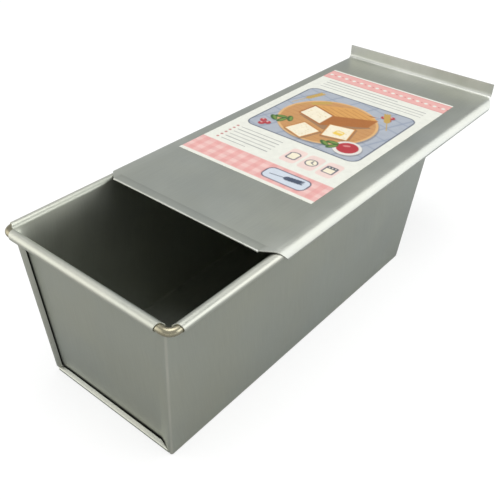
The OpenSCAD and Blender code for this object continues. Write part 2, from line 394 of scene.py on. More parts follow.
tiltY = math.atan(s["riseY"])
bendY = s["footY"] - s["bend"] * (1 - math.sin(tiltY)) / math.cos(tiltY)
bendTurns = spread(-90.0, -math.degrees(tiltY), 6)
bendRows = []                                 # (height, how far in from the leaning plane)
for turn in bendTurns:
    a = math.radians(turn)
    z = s["bend"] * (1 + math.sin(a))
    bendRows.append((z, planeY(z) - bendY - s["bend"] * math.cos(a)))
straightRows = [s["seamLow"], 2.8, 3.8, 5.2, 7.2, 10, 16, 24, 34, 44, 54, 63, 70, 75, 78.5, 80.5, 82, 83.2,
                84.3, s["foldTop"], s["cornerTop"], s["neckZ"]]
neckRows = spread(s["neckZ"], curlFoot, 6)
curlTurns = spread(s["curlStart"], s["curlEnd"], 28)


# The outside of the sheet where it crosses the plan at one column, at height z and set in by inset
def endColumn(kind, t, z, inset):
    x, y = planeX(z), planeY(z)
    if kind == "panel":                       # t from 0 at the side flange to 1 at the strip
        yFlange = y - s["flangeIn"] - s["flangeRound"]
        yStrip = -(y - s["swell"])
        py = mix(yFlange, yStrip, t)
        fromEnd = min(yFlange - py, py - yStrip + 3)    # the strip takes the last 3 mm of the curve
        return Vector((-(x - s["recess"] + s["flare"] * lean(z, fromEnd)), py, z))
    if kind == "strip":
        py = -(y - mix(s["swell"], s["bend"], t))
        out = mix(s["recess"] * swellAt(t), s["flare"], lean(z, 3 * (1 - t)))
        slope = s["recess"] / (s["swell"] - s["bend"]) * (0 if t in (0, 1) else 1)
        return Vector((-(x - s["recess"] + out - inset), py + inset * slope, z))
    a = math.radians(90 * t)                  # the plain corner, t from 0 on the end to 1 on the long wall
    r = max(s["bend"] - inset, 0)
    return Vector((-(x - s["bend"]) - r * math.cos(a), -(y - s["bend"]) - r * math.sin(a), z))


def wallColumn(px, z, inset, fromEnd):
    return Vector((px, -(planeY(z) - inset + s["flare"] * lean(z, fromEnd)), z))


def buildCornerSheet():
    patches = SheetPatches()
    # Columns are (kind, t): t is a share from 0 to 1, a distance from a corner, or degrees round the fold
    panelSteps = [0, 0.01, 0.025, 0.05, 0.08, 0.12, 0.18, 0.3, 0.45, 0.6, 0.75, 0.86, 0.93, 0.97, 1.0]
    panelCols = [("panel", t) for t in panelSteps]
    stripCols = [("strip", t) for t in spread(0, 1, 12)[1:]]
    cornerCols = [("corner", t) for t in spread(0, 1, 8)[1:]]
    startGaps = [2.4, 3.38, 4.6, 6.5, 9, 12, 16]                     # from the plain corner's plane
    endGaps = [16, 12, 9, 6.3, 5.2, 4.2, 3.38, 2.6, 1.8, 1.0]         # from the seam's plane
    wallCols = [("near", g) for g in startGaps] + [("middle", f) for f in spread(0, 1, 10)[1:-1]]
    wallCols += [("far", g) for g in endGaps]
    foldCols = [("fold", t) for t in spread(0, s["foldTurn"], 11)[1:]] + [("leg", 0.5), ("leg", 1.0)]
    columns = panelCols + stripCols + cornerCols + wallCols + foldCols

    rowList = [(True, z, inset) for z, inset in bendRows] + [(False, z, 0.0) for z in straightRows]
    seamLowRow = len(bendRows)
    topRow = len(rowList) - 1
    cornerTopRow = topRow - 1
    foldTopRow = topRow - 2
    footEndRow = seamLowRow + 5               # the fold's rounded foot has run out here

    def wallX(kind, g, z):
        x = planeX(min(z, s["neckZ"]))
        if kind == "near":
            return -x + g
        if kind == "far":
            return x - g
        return mix(-x + startGaps[-1], x - endGaps[0], g)

    def place(kind, t, z, inset=0.0):
        if kind in ("panel", "strip", "corner"):
            return endColumn(kind, t, z, inset)
        if kind in ("near", "middle", "far"):
            px = wallX(kind, t, z)
            fromEnd = min(px + planeX(z) - 1.5, planeX(z) - 1 - px)
            return wallColumn(px, z, inset, fromEnd)
        depth, rise = foldPoint(t) if kind == "fold" else legPoint(t)
        return Vector((planeX(z) - depth, -(planeY(z) - rise), z))

    # Whether the sheet is there: it is cut back under the folds and the panel, and at the corners' tops
    def isPresent(kind, t, i):
        lowest = seamLowRow if kind in ("panel", "fold", "leg") else 0
        highest = topRow
        if kind in ("fold", "leg") or (kind == "far" and t < s["neckClear"]):
            highest = foldTopRow
        if kind == "corner" or (kind == "near" and t < s["neckClear"]):
            highest = cornerTopRow
        return lowest <= i <= highest

    # Height of the seam's rounded foot for a column that stands so far from the seam's plane
    def footHeight(gap):
        if gap >= s["seamRound"]:
            return s["seamLow"]
        k = 1 - gap / s["seamRound"]
        return s["seamLow"] + s["seamRound"] * (1 - math.sqrt(max(0.0, 1 - k * k)))

    # Height of a fold's point: its lowest rows spread out from the rounded foot
    def foldHeight(kind, t, i):
        z = rowList[i][1]
        if not seamLowRow <= i < footEndRow:
            return z
        start = footHeight(foldPoint(t)[0] if kind == "fold" else legPoint(t)[0])
        stop = rowList[footEndRow][1]
        return mix(start, stop, (z - s["seamLow"]) / (stop - s["seamLow"]))

    # Worn edges with painted highlight count from 0 to 1, and painted shade in the seams' crevices from 0 to -1
    def wearSheenShadeAt(kind, t, z, inBend):
        if kind == "panel":
            return -max(ease((6.2 - z) / 2.8) * mix(0.75, 1.0, t), 0.9 * ease(1 - t / 0.03))
        if kind == "strip":
            return -ease((0.9 - t) / 0.25) if inBend else -ease((6.0 - z) / 2.8) * ease((0.7 - t) / 0.4)
        # The fold's nose and leg, the plain corner and the bottom bend are worn and get a painted highlight
        if kind == "fold":
            return mix(0.1, 0.6, ease((t - 70) / 60))
        if kind == "leg":
            return 0.5
        edge = math.sin(math.pi * t) if kind == "corner" else 0.0
        return max(edge, 0.35) if inBend else edge

    rows, flat, wearSheenShade = [], [], []
    for i, (inBend, z, inset) in enumerate(rowList):
        line, lineFlat, lineWearSheenShade = [], [], []
        length, last = 0.0, None
        for kind, t in columns:
            p = place(kind, t, foldHeight(kind, t, i) if kind in ("fold", "leg") else z, inset)
            if last is not None:
                length += (Vector((p.x, p.y)) - Vector((last.x, last.y))).length
            last = p
            line.append(p if isPresent(kind, t, i) else None)
            lineFlat.append((length, p.z))
            lineWearSheenShade.append(wearSheenShadeAt(kind, t, p.z, inBend))
        rows.append(line)
        flat.append(lineFlat)
        wearSheenShade.append(lineWearSheenShade)
    patches.grid(rows, flat, wearSheenShade)

    # the strip's first column has a foot of its own below the panel
    stripFoot, footFlat = [], []
    for i in range(seamLowRow + 1):
        _, z, inset = rowList[i]
        first = endColumn("panel", 1.0, z, 0) if i == seamLowRow else endColumn("strip", 0.0, z, inset)
        stripFoot.append([first, endColumn("strip", 1 / 12, z, inset)])
        footFlat.append([flat[i][len(panelCols) - 1], flat[i][len(panelCols)]])
    patches.grid(stripFoot, footFlat)

    # foot flange under the end panel, in the bottom seam, as (depth behind the seam's plane, height); it is
    # painted in full shade
    footPath = [(0.7, 1.02), (1.6, 1.02), (2.4, 1.02), (2.68, 1.2), (2.8, 1.6)]
    footRow = [endColumn("panel", t, s["seamLow"], 0) for t in panelSteps]
    line, lineFlat = [], []
    for depth, z in footPath:
        x = s["footX"] + (s["riseX"] * z if z > 1.5 else 0.07)    # only its upper end leans as the panel does
        line.append([Vector((-(x - depth), p.y, z)) for p in footRow])
        lineFlat.append([(u, z - 3) for u, _ in flat[seamLowRow][:len(footRow)]])
    line.append(footRow)
    lineFlat.append([(u, s["seamLow"] - 3) for u, _ in flat[seamLowRow][:len(footRow)]])
    patches.grid(line, lineFlat, [[-1.0] * len(footRow) for _ in line])

    # side flange of the end panel, in the upright seam, painted in shade
    line, lineFlat = [], []
    for _, z, _ in rowList[seamLowRow:foldTopRow + 1]:
        p = endColumn("panel", 0, z, 0)
        y = planeY(z) - s["flangeIn"]
        path = [(-(planeX(z) - 0.5), y), (p.x - 0.9, y), (p.x - 0.32, y), (p.x - 0.1, y - 0.11)]
        line.append([Vector((px, py, z)) for px, py in path] + [p])
        lineFlat.append([(u, z) for u in (-3, -1.4, -0.8, -0.4, 0)])
    patches.grid(line, lineFlat, [[-0.9] * 5 for _ in line])

    # necks and curls of the rim, along an end or along a long wall
    def rim(used, endLow, endHigh, axis, uvShift):
        isEnd = axis == "end"
        centre = s["rimX"] if isEnd else s["rimY"]
        feet = [place(kind, t, s["neckZ"]) for kind, t in used]
        spans = [p.y if isEnd else p.x for p in feet]
        along = [(endLow, 0)] + [(a, i) for i, a in enumerate(spans)] + [(endHigh, len(spans) - 1)]
        if abs(endHigh - spans[-1]) < 0.05:
            along = along[:-1]

        def rimPoint(a, out, z):
            return Vector((-out, a, z)) if isEnd else Vector((a, -out, z))

        lineRows, lineFlats, lineWearSheens = [], [], []
        for z in neckRows:
            wall = [place(*column, z) for column in used]
            lineRows.append([rimPoint(a, -(wall[i].x if isEnd else wall[i].y), z) for a, i in along])
            lineFlats.append([(a + uvShift, z) for a, i in along])
            # a little painted highlight at the top of the necks
            lineWearSheens.append([0.2 * ease((z - 88.0) / 2.0)] * len(along))
        for turn in curlTurns[1:]:
            angle = math.radians(turn)
            if turn >= 90:
                back = s["curlTopShare"] * ease((s["curlStart"] - turn) / (s["curlStart"] - 90))
            else:
                back = mix(s["curlTopShare"], 1.0, min(1.0, (90 - turn) / 90))
            shrink = 1 - s["curlBack"] * back / abs(endHigh)
            out, z = centre + s["curlR"] * math.cos(angle), s["rimZ"] + s["curlR"] * math.sin(angle)
            lineRows.append([rimPoint(a * shrink, out, z) for a, i in along])
            arc = math.radians(s["curlStart"] - turn) * (s["curlR"] + s["sheet"] / 2)
            lineFlats.append([(a + uvShift, curlFoot + arc) for a, i in along])
            # painted highlight along the curls' crests, with their wear
            crest = ease((turn + 60) / 70) * ease((130 - turn) / 50)
            lineWearSheens.append([(0.68 if isEnd else 0.85) * crest] * len(along))
        patches.grid(lineRows, lineFlats, lineWearSheens)

    wallKinds = ("near", "middle", "far")
    endTop = [c for c in columns if c[0] in ("panel", "strip")]
    wallTop = [c for c in columns if c[0] in wallKinds and isPresent(*c, topRow)]
    rim(endTop, s["rootY"] + s["rootMore"], -s["rootY"], "end", 0)
    rim(wallTop, -s["rootX"], s["rootX"] + s["rootMore"], "wall", 200)

    footInset = bendRows[0][1]
    footLine = [endColumn("strip", t, 0, footInset) for t in spread(0, 1, 12)]
    footLine += [endColumn("corner", t, 0, footInset) for _, t in cornerCols]
    footLine += [p for p, (kind, t) in zip(rows[0], columns) if kind in wallKinds]
    return patches, footLine


def buildFloor(footLine):
    patches = SheetPatches()
    # fold of the -X bottom seam: rows from the floor round the nose to the leg's edge
    profile = [foldPoint(a) for a in spread(0, s["foldTurn"], 11)] + [legPoint(k) for k in (0.35, 0.7, 1.0)]

    def startY(depth):
        k = max(0.0, 1 - depth / s["seamRound"])
        return bendY - s["seamRound"] * (1 - math.sqrt(max(0.0, 1 - k ** 2)))

    def endY(depth, z):
        return -(planeY(z) - swellDistance(depth) - s["seamGap"])

    steps = [0, 0.01, 0.02, 0.04, 0.07, 0.12, 0.2, 0.35, 0.5, 0.65, 0.8, 0.88, 0.93, 0.96, 0.98, 0.99, 1.0]
    rows, flat, wearSheenShade = [], [], []
    for depth, rise in profile:
        y0, y1 = startY(depth), endY(depth, rise)
        line = []
        for k in steps:
            y = mix(y0, y1, k)
            flatEnds = ease((y0 - y - 1) / 3) * ease((y - y1 + 1) / 3)
            z = mix(min(rise, 2 * s["foldR"]), rise, flatEnds)
            line.append(Vector((-(s["footX"] - depth), y, z)))
        rows.append(line)
        flat.append([(p.y, -depth - rise * 1.5) for p in line])
        # painted shade low on the fold, and wear with painted highlight on its top
        wearSheenShade.append([mix(-0.3, 1.0, ease((rise - 1.25) / 0.6))] * len(steps))
    wearSheenShade[-1] = [-0.3] * len(steps)            # the leg's edge lies in the seam's shadow
    half = SheetPatches()
    half.grid(rows, flat, wearSheenShade)
    patches.add(half)
    patches.add(half.turnedHalfRound())
    # flat floor between: seam line, strip and corner, long wall's foot, and the same turned half round
    outline = rows[0] + [p for p in footLine if p.y < rows[0][-1].y - 0.3]
    ring = []
    for p in outline + [Vector((-p.x, -p.y, p.z)) for p in outline]:
        if not ring or (p - ring[-1]).length > 0.004:
            ring.append(p)
    ring.reverse()
    patches.polygon(ring, [(p.y, p.x) for p in ring])
    return patches


# Puts a narrow ring round the flat floor, so that the folds' rounding doesn't shade the floor inside it
def insetFloor(mesh):
    bm = bmesh.new()
    bm.from_mesh(mesh)
    big = max(bm.faces, key=lambda f: f.calc_area())
    outer = list(big.verts)
    bm.faces.remove(big)
    shareX, shareY = s["floorRing"]
    inner = [bm.verts.new((v.co.x * shareX, v.co.y * shareY, 0)) for v in outer]
    for i in range(len(outer)):
        bm.faces.new((outer[i - 1], outer[i], inner[i], inner[i - 1])).smooth = True
    middle = bm.faces.new(inner)
    middle.smooth = True
    bmesh.ops.triangulate(bm, faces=[middle])
    flat = bm.loops.layers.uv["flat"]
    for face in bm.faces:
        if max(v.co.z for v in face.verts) < 1e-6:
            for loop in face.loops:
                loop[flat].uv = (loop.vert.co.y, loop.vert.co.x)
    bm.to_mesh(mesh)
    bm.free()


cornerSheet, footLine = buildCornerSheet()
body = SheetPatches()
body.add(cornerSheet)
body.add(cornerSheet.turnedHalfRound())
body.add(buildFloor(footLine))
panMesh = body.toMesh("panBody")
insetFloor(panMesh)
panBody = addObject("panBody", panMesh, panSteel)
thicken(panBody, s["sheet"], s["edgeBevel"])
for v in panBody.data.vertices:               # the underside is flat where the folds end
    v.co.z = max(v.co.z, 0.0)
print("pan body folded:", len(panBody.data.polygons), "faces")


# Rim wire: swept along its path by geometry nodes

wireSizes = {
    "runX": 112.4, "runY": 53.4, "height": 88.4, "corner": 4.0, "radius": 2.0,
    "bendSteps": 12, "roundSteps": 28,
}


def newTree(name, inputs):
    tree = bpy.data.node_groups.new(name, "GeometryNodeTree")
    tree.is_modifier = True
    tree.interface.new_socket("Geometry", in_out="INPUT", socket_type="NodeSocketGeometry")
    tree.interface.new_socket("Geometry", in_out="OUTPUT", socket_type="NodeSocketGeometry")
    for label, (kind, value) in inputs.items():
        socket = tree.interface.new_socket(label, in_out="INPUT", socket_type=kind)
        if value is not None:
            socket.default_value = value
    return tree, tree.nodes.new("NodeGroupInput"), tree.nodes.new("NodeGroupOutput")


def setInputs(modifier, values):
    for item in modifier.node_group.interface.items_tree:
        if item.item_type == "SOCKET" and item.in_out == "INPUT" and item.name in values:
            modifier[item.identifier] = values[item.name]


# Keeps the length along a curve under a name, for the UV map
def keepLength(tree, curve, name):
    keep = addNode(tree, "GeometryNodeCaptureAttribute", domain="POINT")
    keep.capture_items.new("FLOAT", name)
    tree.links.new(curve, keep.inputs["Geometry"])
    tree.links.new(tree.nodes.new("GeometryNodeSplineParameter").outputs["Length"], keep.inputs[name])
    return keep.outputs["Geometry"], keep.outputs[name]


def makeRimWire(sizes):
    tree, start, end = newTree("sweepRimWire", {
        "Length": ("NodeSocketFloat", 0.2), "Width": ("NodeSocketFloat", 0.1),
        "Corner": ("NodeSocketFloat", 0.004), "Wire Radius": ("NodeSocketFloat", 0.002),
        "Height": ("NodeSocketFloat", 0.09), "Bend Steps": ("NodeSocketInt", 12),
        "Round Steps": ("NodeSocketInt", 28), "Metal": ("NodeSocketMaterial", None),
    })
    sizeOf = start.outputs
    path = addNode(tree, "GeometryNodeCurvePrimitiveQuadrilateral",
                   {"Width": sizeOf["Length"], "Height": sizeOf["Width"]})
    fillet = addNode(tree, "GeometryNodeFilletCurve", {
        "Curve": path.outputs["Curve"], "Radius": sizeOf["Corner"], "Count": sizeOf["Bend Steps"],
    }, mode="POLY")
    offset = addNode(tree, "ShaderNodeCombineXYZ", {"Z": sizeOf["Height"]})
    lift = addNode(tree, "GeometryNodeTransform",
                   {"Geometry": fillet.outputs["Curve"], "Translation": offset.outputs["Vector"]})
    ring = addNode(tree, "GeometryNodeCurvePrimitiveCircle",
                   {"Resolution": sizeOf["Round Steps"], "Radius": sizeOf["Wire Radius"]})
    run, along = keepLength(tree, lift.outputs["Geometry"], "along")
    section, around = keepLength(tree, ring.outputs["Curve"], "around")
    sweep = addNode(tree, "GeometryNodeCurveToMesh", {"Curve": run, "Profile Curve": section})
    flat = addNode(tree, "ShaderNodeCombineXYZ", {"X": along, "Y": around})
    store = addNode(tree, "GeometryNodeStoreNamedAttribute", {
        "Geometry": sweep.outputs["Mesh"], "Name": "flat", "Value": flat.outputs["Vector"],
    }, data_type="FLOAT2", domain="CORNER")
    smooth = addNode(tree, "GeometryNodeSetShadeSmooth", {"Geometry": store.outputs["Geometry"]})
    real = addNode(tree, "GeometryNodeRealizeInstances", {"Geometry": smooth.outputs["Geometry"]})
    paint = addNode(tree, "GeometryNodeSetMaterial",
                    {"Geometry": real.outputs["Geometry"], "Material": sizeOf["Metal"]})
    tree.links.new(paint.outputs["Geometry"], end.inputs["Geometry"])

    holder = addObject("rimWire", bpy.data.meshes.new("rimWire"), None)
    modifier = holder.modifiers.new("sweep", "NODES")
    modifier.node_group = tree
    setInputs(modifier, {
        "Length": sizes["runX"] * 2 * millimetre, "Width": sizes["runY"] * 2 * millimetre,
        "Corner": sizes["corner"] * millimetre, "Wire Radius": sizes["radius"] * millimetre,
        "Height": sizes["height"] * millimetre, "Bend Steps": sizes["bendSteps"],
        "Round Steps": sizes["roundSteps"], "Metal": wireMetal,
    })
    bakeModifiers(holder, 60)
    return holder


rimWire = makeRimWire(wireSizes)
print("rim wire swept:", len(rimWire.data.polygons), "faces")


# Sliding lid: one blank with two rolled channels, a hem at the front and a pull lip at the back

lidSizes = {
    "front": -52.0, "back": 183.0, "top": 92.4,
    "rollStart": 52.44,                       # where the flat plate ends and the arcs start
    "rollArcs": ((4.0, 50.0, 9), (11.3, 68.0, 6), (1.0, 100.0, 6), (3.7, 198.0, 12)),    # radius, turn, steps
    "frontHalf": 47.5, "lipHalf": 54.5, "slope": 0.75,    # past these the corners are cut at a slant
    "hemDepth": 8.0, "hemRise": 0.3, "hemLine": 5.8, "hemShade": 0.12,
    "lipR": 2.8, "lipTop": 101.0, "sheet": 0.5, "edgeBevel": 0.13,
}


# The lid in section, by the distance w along the sheet from its middle: flat, then the arcs
def lidSection(w, k):
    y, z, left, turn = k["rollStart"], k["top"], abs(w) - k["rollStart"], 0.0
    if left <= 0:
        return w, z
    for radius, reached, _ in k["rollArcs"]:
        end = min(math.radians(reached), turn + left / radius)
        y += radius * (math.sin(end) - math.sin(turn))
        z -= radius * (math.cos(turn) - math.cos(end))
        left -= radius * (end - turn)
        if left < 1e-9:
            break
        turn = end
    return math.copysign(y, w), z


def buildLid(k):
    patches = SheetPatches()
    t = k["sheet"]
    side = [12, 24, 36, 44, k["frontHalf"], 49.5, k["rollStart"], k["lipHalf"]]
    start, turn = k["rollStart"], 0.0
    for radius, reached, steps in k["rollArcs"]:
        length = radius * (math.radians(reached) - turn)
        side += spread(start, start + length, steps)[1:]
        start, turn = start + length, math.radians(reached)
    side = sorted(side)
    across = [-w for w in reversed(side)] + [0.0] + side

    # Squared way from the front edge to the hem's inner line, 1 beyond it
    def inHem(x, w):
        way = min(1.0, ((x - k["front"]) / k["hemLine"]) ** 2)
        return mix(1.0, way, ease((k["frontHalf"] + 2 - abs(w)) / 4))

    # The hem shows through as a slightly raised strip along the front edge
    def pressed(x, w, z):
        return z + k["hemRise"] * (1 - inHem(x, w))

    # The slanted cut, the rolls and the plate's far end are worn and get a painted highlight, and the hem's
    # strip gets a little painted shade
    def wearSheenShadeAt(i, x, w):
        if i == 0 and abs(w) > k["frontHalf"] + 0.1:
            return 1.0
        if i > 0 and 0.01 < inHem(x, w) < 1:
            return -k["hemShade"] * inHem(x, w)
        polishAndSheen = 0.25 * ease((abs(w) - 43) / 9) + 0.4 * ease((abs(w) - k["rollStart"]) / 6)
        return max(polishAndSheen, 0.6 * ease((x - 162) / 18))

    lengths = [0, 0.5, 1, 2, 3, 4, 4.8, 5.1, 5.3, 5.5, 5.9, 7, 10, 14, 22, 40, 70, 110, 150, 185, 208, 215, 220,
               224, 227, 230, 231.5, 232.5, 233]
    bend, plateEnd = k["lipR"] - t, k["back"] - k["lipR"]
    lipPath = [(bend * math.sin(a), bend - bend * math.cos(a)) for a in spread(0, math.pi / 2, 8)[1:]]
    lipPath += [(bend, h) for h in (3.0, 4.0, 5.5, 7.2, 8.1, k["lipTop"] - k["top"])]
    # the lip is worn and gets a painted highlight
    lipWearSheen = [1.0 if i < 8 or i > 11 else 0.8 for i in range(len(lipPath))]
    rows, flat, wearSheenShade = [], [], []
    for w in across:
        y, z = lidSection(w, k)
        x0 = k["front"] + t + max(0.0, abs(w) - k["frontHalf"]) * k["slope"]
        x1 = plateEnd - max(0.0, abs(w) - k["lipHalf"]) * k["slope"]
        xs = [mix(x0, x1, f / lengths[-1]) for f in lengths]
        lip = [None] * len(lipPath)
        if abs(w) <= k["lipHalf"] + 0.001:
            lip = [Vector((plateEnd + px, y, mix(z, k["top"], min(1, pz / 2)) + pz)) for px, pz in lipPath]
        rows.append([Vector((x, y, pressed(x, w, z))) for x in xs] + lip)
        flat.append([(x, w) for x in xs] + [(plateEnd + pz + px, w) for px, pz in lipPath])
        wearSheenShade.append([wearSheenShadeAt(i, x, w) for i, x in enumerate(xs)] + lipWearSheen)
    patches.grid(rows, flat, wearSheenShade)

    hemPath = [(t - t * math.sin(a), -t + t * math.cos(a)) for a in spread(0, math.pi, 8)]
    hemPath += [(t + d, -2 * t) for d in (1.0, 3.0, 6.0, 7.2, k["hemDepth"])]
    hemRows, hemFlat, hemWearSheen = [], [], []
    for w in [w for w in across if abs(w) <= k["frontHalf"]]:
        hemRows.append([Vector((k["front"] + px, w, pressed(k["front"] + max(px, t), w, k["top"]) + pz))
                        for px, pz in reversed(hemPath)])
        hemFlat.append([(k["front"] - i, w) for i in reversed(range(len(hemPath)))])
        # the hem's fold is worn and gets a painted highlight
        hemWearSheen.append([1.0 if i > 4 else 0.0 for i in range(len(hemPath))])
    patches.grid(hemRows, hemFlat, hemWearSheen)
    return patches


lidSheet = addObject("lidSheet", buildLid(lidSizes).toMesh("lidSheet"), lidSteel)
thicken(lidSheet, lidSizes["sheet"], lidSizes["edgeBevel"])
print("lid formed:", len(lidSheet.data.polygons), "faces")


# Paper label

labelSizes = {
    "x0": -4.0, "x1": 152.0, "yLeft": 47.5, "yRight": -42.5, "z": 92.4, "thickness": 0.12,
    "cellsAcross": 180, "cellsAlong": 312, "fine": 3, "wave": 0.012,
}
inks = {
    "paper": (240, 240, 229), "grey": (150, 150, 150), "slate": (74, 84, 104), "plaque": (214, 222, 232),
    "rose": (240, 182, 176), "roseLight": (246, 208, 201), "roseDeep": (228, 150, 148), "berry": (186, 52, 62),
    "cloth": (178, 184, 194), "clothStripe": (150, 160, 178), "shade": (96, 88, 84),
    "board": (206, 152, 96), "boardRing": (184, 126, 72), "boardRim": (228, 182, 124), "crust": (176, 108, 48),
    "crustLight": (222, 164, 90), "crumb": (250, 240, 214), "pore": (232, 212, 172), "leaf": (66, 104, 50),
    "leafLight": (132, 160, 74), "butter": (246, 208, 88), "bowl": (236, 232, 224), "straw": (200, 164, 84),
}


# A small canvas over the label, in millimetres: u runs across from the left edge, v along from the front edge
class LabelCanvas:
    def __init__(self, width, length, cellsU, cellsV, fine):
        self.fine, self.shape = fine, (cellsV + 1, cellsU + 1)
        u = (np.arange((cellsU + 1) * fine) + 0.5) / fine - 0.5
        v = (np.arange((cellsV + 1) * fine) + 0.5) / fine - 0.5
        self.u, self.v = np.meshgrid(u * width / cellsU, v * length / cellsV)
        self.colour = np.empty(self.u.shape + (3,))
        self.clip = np.ones(self.u.shape, bool)
        self.paint(self.clip, "paper")

    def paint(self, mask, ink, strength=1.0):
        rgb = np.array(inks[ink]) / 255.0
        linear = np.where(rgb <= 0.04045, rgb / 12.92, ((rgb + 0.055) / 1.055) ** 2.4)
        spot = mask & self.clip
        self.colour[spot] = self.colour[spot] * (1 - strength) + linear * strength

    def disc(self, cu, cv, ru, rv=None, turn=0.0):
        a = math.radians(turn)
        du, dv = self.u - cu, self.v - cv
        x, y = du * math.cos(a) + dv * math.sin(a), -du * math.sin(a) + dv * math.cos(a)
        return (x / ru) ** 2 + (y / (rv or ru)) ** 2 <= 1

    def box(self, u0, v0, u1, v1, corner=0.0):
        x = np.maximum(np.maximum(u0 + corner - self.u, self.u - u1 + corner), 0)
        y = np.maximum(np.maximum(v0 + corner - self.v, self.v - v1 + corner), 0)
        return np.hypot(x, y) <= max(corner, 1e-6)

    def line(self, u0, v0, u1, v1, width):
        du, dv = u1 - u0, v1 - v0
        k = np.clip(((self.u - u0) * du + (self.v - v0) * dv) / (du * du + dv * dv), 0, 1)
        return np.hypot(self.u - u0 - k * du, self.v - v0 - k * dv) <= width / 2

    def polygon(self, points):
        inside = np.zeros(self.u.shape, bool)
        for (u0, v0), (u1, v1) in zip(points, points[1:] + points[:1]):
            if v0 != v1:
                crossing = (u1 - u0) * (self.v - v0) / (v1 - v0) + u0
                inside ^= ((v0 > self.v) != (v1 > self.v)) & (self.u < crossing)
        return inside

    def atCells(self):
        rows, cols = self.shape
        return self.colour.reshape(rows, self.fine, cols, self.fine, 3).mean(axis=(1, 3))


def drawLoafSlice(c, u, v, size, turn, dice):
    cosTurn, sinTurn = math.cos(math.radians(turn)), math.sin(math.radians(turn))

    def turned(x, y):
        return x * cosTurn - y * sinTurn, x * sinTurn + y * cosTurn

    def square(half, shift=0.0):
        corners = [turned(x, y) for x, y in ((-1, -1), (1, -1), (1, 1), (-1, 1))]
        return [(u + shift + half * x, v - shift + half * y) for x, y in corners]

    c.paint(c.polygon(square(size / 2 + 0.3, 0.9)), "shade", 0.45)
    c.paint(c.polygon(square(size / 2)), "crust")
    c.paint(c.polygon(square(size / 2 - 0.5)), "crustLight")
    c.paint(c.polygon(square(size / 2 - 1.0)), "crumb")
    for _ in range(26):
        x, y = dice.uniform(-1, 1) * (size / 2 - 1.8), dice.uniform(-1, 1) * (size / 2 - 1.8)
        du, dv = turned(x, y)
        c.paint(c.disc(u + du, v + dv, dice.uniform(0.25, 0.55)), "pore", 0.8)


def drawWheat(c, u, v, turn, length, stem="straw", grain="straw"):
    a = math.radians(turn)
    along, aside = (math.sin(a), math.cos(a)), (math.cos(a), -math.sin(a))
    c.paint(c.line(u, v, u + along[0] * length, v + along[1] * length, 0.6), stem)
    for i in range(6):
        k = length * (0.5 + 0.085 * i)
        for way in (-1, 1):
            c.paint(c.disc(u + along[0] * k + aside[0] * way * 1.1, v + along[1] * k + aside[1] * way * 1.1,
                           0.75, 1.7, -turn - way * 24), grain)


def drawPicture(c, dice):
    c.paint(c.box(6, 49, 84, 121, 6), "slate")
    c.clip = c.box(6.7, 49.7, 83.3, 120.3, 5.4)
    c.paint(c.clip, "cloth")
    for i in range(-6, 12):                    # a checked kitchen cloth, laid askew
        c.paint(c.line(i * 13, 40, i * 13 + 34, 130, 1.3), "clothStripe", 0.8)
        c.paint(c.line(-10, 44 + i * 13, 100, 14 + i * 13, 1.3), "clothStripe", 0.6)
    c.paint(c.disc(44.5, 81.5, 31, 29.5), "shade", 0.5)
    c.paint(c.disc(43, 83, 31, 29.5), "boardRim")
    c.paint(c.disc(43, 83, 29.4, 28), "board")
    for i in range(13):
        ring = c.line(8, 58 + i * 4.2, 80, 54 + i * 4.2 + dice.uniform(-1, 1), 0.5)
        c.paint(ring & c.disc(43, 83, 29.4, 28), "boardRing", 0.55)
    # a square loaf seen from its cut end, with its long crust running back
    c.paint(c.polygon([(24, 80), (47, 72), (68, 92), (44, 104)]), "shade", 0.5)
    c.paint(c.polygon([(26, 92), (40, 96), (64, 108), (48, 106), (38, 103)]), "crust")
    c.paint(c.polygon([(22, 82), (24, 98), (46, 110), (66, 104), (66, 92), (42, 76)]), "crust")
    c.paint(c.polygon([(24, 98), (46, 110), (66, 104), (42, 92)]), "crustLight")
    for i in range(5):
        k = i * 4.2
        c.paint(c.line(29 + k, 98.5 + k * 0.5, 45 + k, 93.5 + k * 0.5, 0.7), "crust", 0.5)
    c.paint(c.polygon([(22, 82), (24, 98), (42, 92.5), (42, 76)]), "crust")
    c.paint(c.polygon([(23.2, 82.8), (25, 96.4), (40.9, 91.5), (40.9, 77.7)]), "crumb")
    for _ in range(22):
        c.paint(c.disc(dice.uniform(25.5, 39.5), dice.uniform(82, 92), dice.uniform(0.25, 0.6)), "pore", 0.8)
    drawLoafSlice(c, 56, 75, 17, 14, dice)
    drawLoafSlice(c, 38, 64, 16, -18, dice)
    c.paint(c.box(54, 71.5, 60, 77, 1.2), "butter")
    c.paint(c.box(54.8, 74.5, 59.2, 76.2, 0.6), "crumb", 0.6)
    # jam bowl, mint leaves and berries
    c.paint(c.disc(71.8, 60.6, 8.6), "shade", 0.5)
    c.paint(c.disc(71, 61.5, 8.4), "bowl")
    c.paint(c.disc(71, 61.8, 6.4), "berry")
    c.paint(c.disc(69.4, 63.6, 2.2, 1.1, 30), "roseDeep", 0.8)
    for u, v, turn in [(18, 70, 20), (21, 66.5, 75), (15.5, 66, -40), (24, 71, 120), (61, 62, 10), (63, 58, 60),
                       (57.5, 58.5, -30)]:
        c.paint(c.disc(u, v, 4.0, 1.9, turn), "leaf")
        c.paint(c.disc(u + 0.4, v + 0.4, 2.8, 0.9, turn), "leafLight", 0.8)
    for u, v in [(13, 59), (17.2, 57.6), (14.6, 55), (66, 111), (70, 113), (69.6, 109)]:
        c.paint(c.disc(u + 0.5, v - 0.5, 2.2), "shade", 0.45)
        c.paint(c.disc(u, v, 2.1), "berry")
        c.paint(c.disc(u - 0.6, v + 0.7, 0.7), "roseLight", 0.8)
    drawWheat(c, 10, 92, 18, 26)
    drawWheat(c, 14, 90, 42, 24)
    drawWheat(c, 76, 96, -28, 24)
    c.clip = np.ones(c.u.shape, bool)


